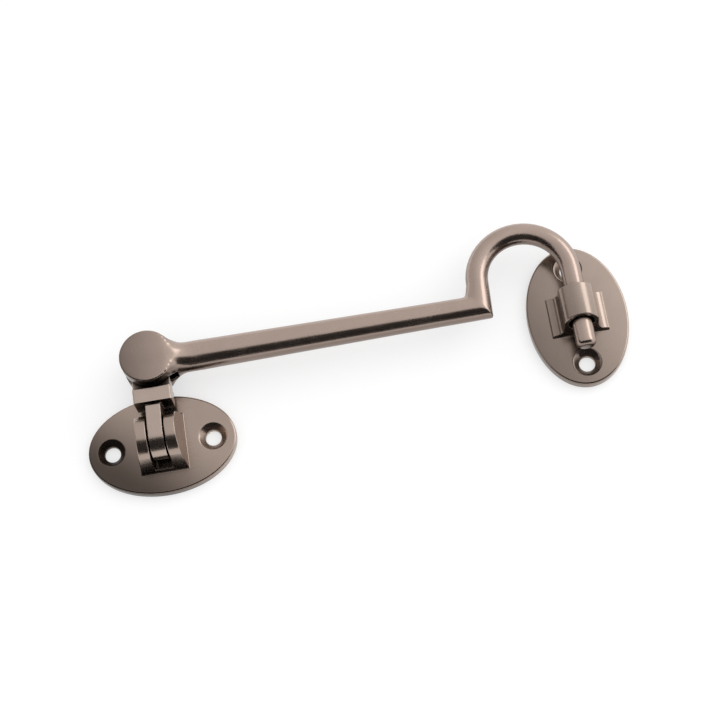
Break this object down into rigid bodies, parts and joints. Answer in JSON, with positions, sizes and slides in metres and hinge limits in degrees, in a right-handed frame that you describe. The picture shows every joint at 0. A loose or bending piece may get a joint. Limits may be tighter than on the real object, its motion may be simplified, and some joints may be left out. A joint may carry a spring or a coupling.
{
  "type": "hook and eye latch",
  "caption": "Double-jointed cabin hook with an oval screw plate, a swivel link, a tapered arm bent to a hook and a round-bored eye on its own oval plate.",
  "frame": {"origin": "centre of the hook plate's flat back, midway between its two screw holes", "axes": "+X along the arm towards the eye, +Y along the link away from the hook plate, +Z out of the mounting surface"},
  "size_m": [0.1844, 0.0704, 0.0185],
  "materials": {
    "satin_nickel": "satin nickel plate on cast brass",
    "pin_nickel": "drawn brass pin, nickel plated and ground flush"
  },
  "bodies": {
    "hook_plate": {"hook_plate": "satin_nickel", "clevis_pin": "pin_nickel"},
    "link": {"link": "satin_nickel"},
    "hook_arm": {"hook_arm": "satin_nickel", "fork_pin": "pin_nickel"},
    "eye_plate": {"eye_plate": "satin_nickel"}
  },
  "joints": [
    {"name": "link_swing", "type": "hinge", "parent": "hook_plate", "child": "link", "pos_m": [0, 0, 0.0108], "axis": [1, 0, 0], "range_deg": [0, 180]},
    {"name": "arm_swing", "type": "hinge", "parent": "link", "child": "hook_arm", "pos_m": [0, 0.0262, 0.0108], "axis": [0, 0, 1], "range_deg": [-15, 195]},
    {"name": "eye_slide", "type": "slide", "parent": "hook_arm", "child": "eye_plate", "axis": [0, -1, 0], "range_m": [-0.006, 0.022]}
  ]
}
